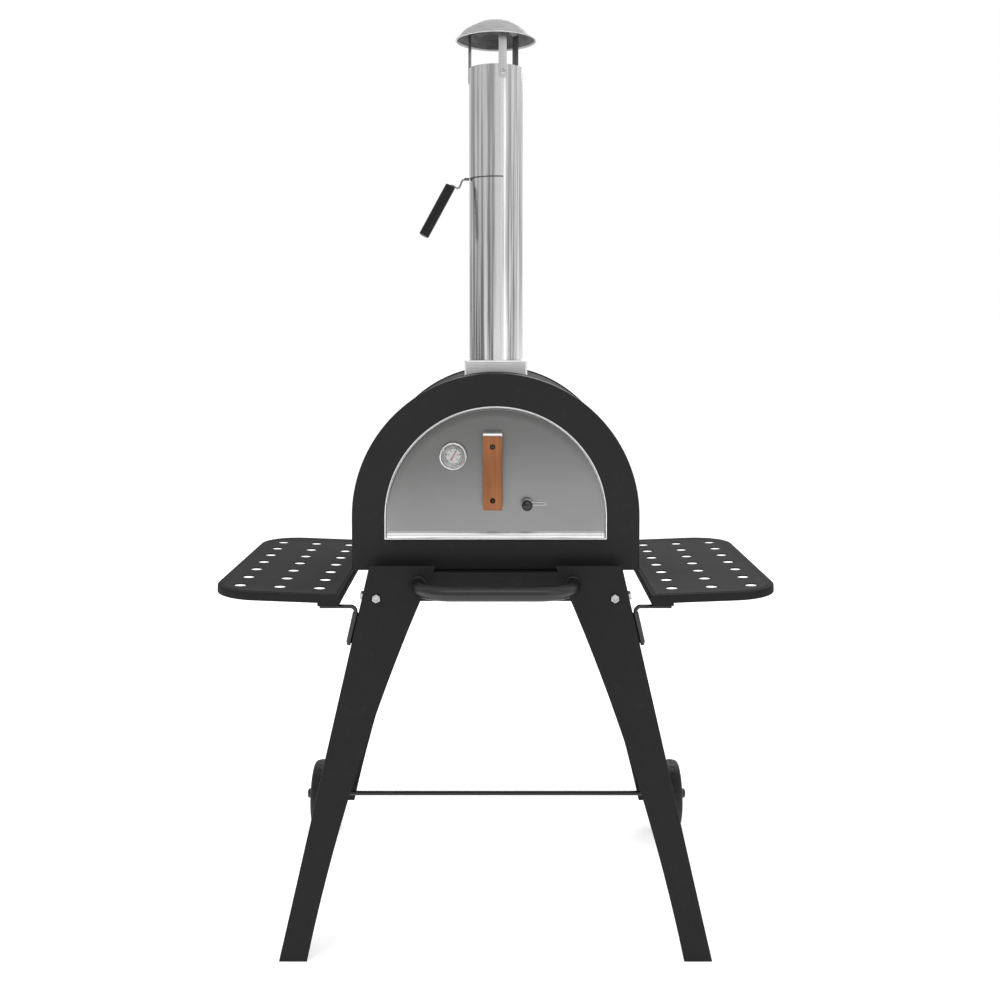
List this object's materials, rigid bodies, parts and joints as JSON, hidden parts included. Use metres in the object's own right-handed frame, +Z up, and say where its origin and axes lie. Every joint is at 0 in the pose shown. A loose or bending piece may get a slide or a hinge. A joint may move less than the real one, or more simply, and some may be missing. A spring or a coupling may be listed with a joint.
{
  "type": "wood fired pizza oven",
  "caption": "Arched wood fired oven with a lift-off door, chimney with damper and rain cap, side shelves, and a splayed stand with wheels at the back.",
  "frame": {"origin": "on the floor under the middle of the whole oven's bounding box", "axes": "+Z up, the mouth and handle bar face -Y, +X to the right seen from the front"},
  "size_m": [0.9708, 0.661, 1.645],
  "materials": {
    "oven_black": "satin black heat-resistant powder coat",
    "stand_black": "satin black powder coat, fine texture",
    "shelf_black": "satin black powder coat",
    "door_steel": "brushed stainless steel",
    "flue_steel": "polished stainless steel with drawn lines",
    "cap_steel": "spun stainless steel, satin",
    "inner_steel": "plain stainless sheet",
    "zinc": "bright zinc-plated steel",
    "dark_screw": "blackened steel",
    "rod_black": "black coated steel",
    "grip_wood": "oiled hardwood, vertical grain",
    "stone": "fired cordierite",
    "wool": "ceramic fibre blanket",
    "iron": "dark cast iron",
    "gauge_steel": "polished stainless steel",
    "dial": "white printed dial",
    "needle_red": "orange-red paint",
    "glass": "clear flat glass",
    "knob_black": "gloss black phenolic",
    "grip_black": "satin black plastic",
    "wheel_black": "matt black moulded plastic",
    "bush_grey": "pale nylon"
  },
  "bodies": {
    "root": {"front_panel": "oven_black", "rear_panel": "oven_black", "outer_shell": "oven_black", "bottom_pan": "oven_black", "body_insulation": "wool", "chamber_liner": "inner_steel", "body_bolts": "zinc", "hearth_ledges": "inner_steel", "pizza_stone": "stone", "fire_grate": "iron", "ash_tray": "inner_steel", "door_trim": "door_steel", "chimney_base": "cap_steel", "flue_collar": "inner_steel", "chimney_pipe": "flue_steel", "cap_straps": "cap_steel", "cap_screws": "zinc", "rain_cap": "cap_steel", "leg_front_right": "stand_black", "leg_front_left": "stand_black", "leg_rear_right": "stand_black", "leg_rear_left": "stand_black", "base_tray": "stand_black", "corner_brackets": "stand_black", "leg_bolts": "zinc", "leg_nuts": "zinc", "handle_bar": "rod_black", "axle": "rod_black", "axle_caps": "knob_black", "axle_spacers": "bush_grey", "shelf_sockets": "rod_black"},
    "door": {"door_panel": "door_steel", "door_inner_skin": "inner_steel", "handle_strap": "door_steel", "handle_grip": "grip_wood", "handle_screws": "dark_screw", "thermometer_case": "gauge_steel", "thermometer_dial": "dial", "thermometer_glass": "glass", "thermometer_probe": "inner_steel", "thermometer_nut": "zinc"},
    "needle": {"thermometer_needle": "needle_red"},
    "vent": {"vent_slider": "inner_steel", "vent_stem": "zinc", "vent_knob": "knob_black"},
    "damper": {"damper_plate": "inner_steel", "damper_wire": "zinc", "damper_grip": "grip_black"},
    "wheel_right": {"wheel_right": "wheel_black", "wheel_bush_right": "bush_grey"},
    "wheel_left": {"wheel_left": "wheel_black", "wheel_bush_left": "bush_grey"},
    "shelf_right": {"shelf_right": "shelf_black", "shelf_channels_right": "stand_black", "shelf_rods_right": "rod_black"},
    "shelf_left": {"shelf_left": "shelf_black", "shelf_channels_left": "stand_black", "shelf_rods_left": "rod_black"}
  },
  "joints": [
    {"name": "door_pull", "type": "slide", "parent": "root", "child": "door", "axis": [0, -1, 0], "range_m": [0, 0.22]},
    {"name": "needle_turn", "type": "hinge", "parent": "door", "child": "needle", "pos_m": [-0.073, -0.2125, 0.8515], "axis": [0, 1, 0], "range_deg": [-165, 105]},
    {"name": "vent_slide", "type": "slide", "parent": "door", "child": "vent", "axis": [1, 0, 0], "range_m": [0, 0.03]},
    {"name": "damper_slide", "type": "slide", "parent": "root", "child": "damper", "axis": [-0.9659, -0.2588, 0], "range_m": [0, 0.085]},
    {"name": "wheel_right_spin", "type": "hinge", "parent": "root", "child": "wheel_right", "pos_m": [0.3765, 0.2605, 0.07], "axis": [1, 0, 0], "continuous": true},
    {"name": "wheel_left_spin", "type": "hinge", "parent": "root", "child": "wheel_left", "pos_m": [-0.3765, 0.2605, 0.07], "axis": [1, 0, 0], "continuous": true},
    {"name": "shelf_right_lift", "type": "slide", "parent": "root", "child": "shelf_right", "axis": [-0.2216, 0, 0.9751], "range_m": [0, 0.04]},
    {"name": "shelf_left_lift", "type": "slide", "parent": "root", "child": "shelf_left", "axis": [0.2216, 0, 0.9751], "range_m": [0, 0.04]}
  ]
}
